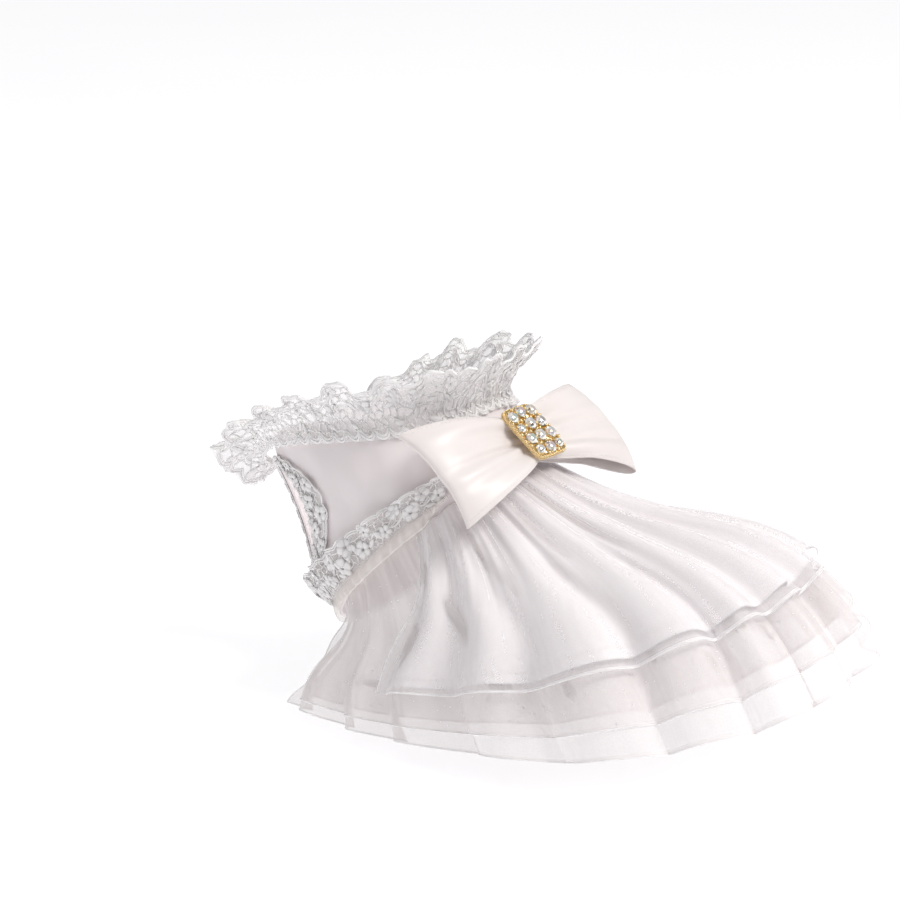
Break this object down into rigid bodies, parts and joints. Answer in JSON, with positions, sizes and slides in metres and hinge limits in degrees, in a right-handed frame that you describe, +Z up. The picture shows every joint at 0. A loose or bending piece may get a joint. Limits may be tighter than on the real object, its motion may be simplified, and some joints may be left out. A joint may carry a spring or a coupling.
{
  "type": "dog dress",
  "caption": "Pet occasion dress in its worn form: satin bodice with armholes, lace collar and waist ruffles, layered gathered skirts, satin bow and stone-set brooch.",
  "frame": {"origin": "on the bodice's inner face, on the ridge of the back halfway from neck to waist, where the dress rests on the wearer (mount back_seat)", "axes": "+X to the wearer's left, +Y towards the train, along the dress's greatest length, +Z up; the part's plane of near symmetry is X = 0"},
  "size_m": [0.2373, 0.3531, 0.183],
  "materials": {
    "satin": "ivory polyester satin with a soft sheen",
    "lace": "white net lace with raised cords, matt",
    "organza": "crisp sheer white organza",
    "tulle": "soft white tulle with small glitter dots",
    "gilt": "polished gold plate",
    "crystal": "faceted clear stone with a foiled back"
  },
  "bodies": {
    "root": {"bodice": "satin", "belly_closure": "satin", "collar_ruffle": "lace", "armhole_trim_left": "lace", "armhole_trim_right": "lace", "waist_trim": "lace", "petticoat": "tulle", "underskirt": "organza", "overskirt": "satin", "bow_loop_left": "satin", "bow_loop_right": "satin", "brooch_setting": "gilt", "stone_01": "crystal", "stone_02": "crystal", "stone_03": "crystal", "stone_04": "crystal", "stone_05": "crystal", "stone_06": "crystal", "stone_07": "crystal", "stone_08": "crystal", "stone_09": "crystal", "stone_10": "crystal", "stone_11": "crystal", "stone_12": "crystal"}
  },
  "joints": []
}
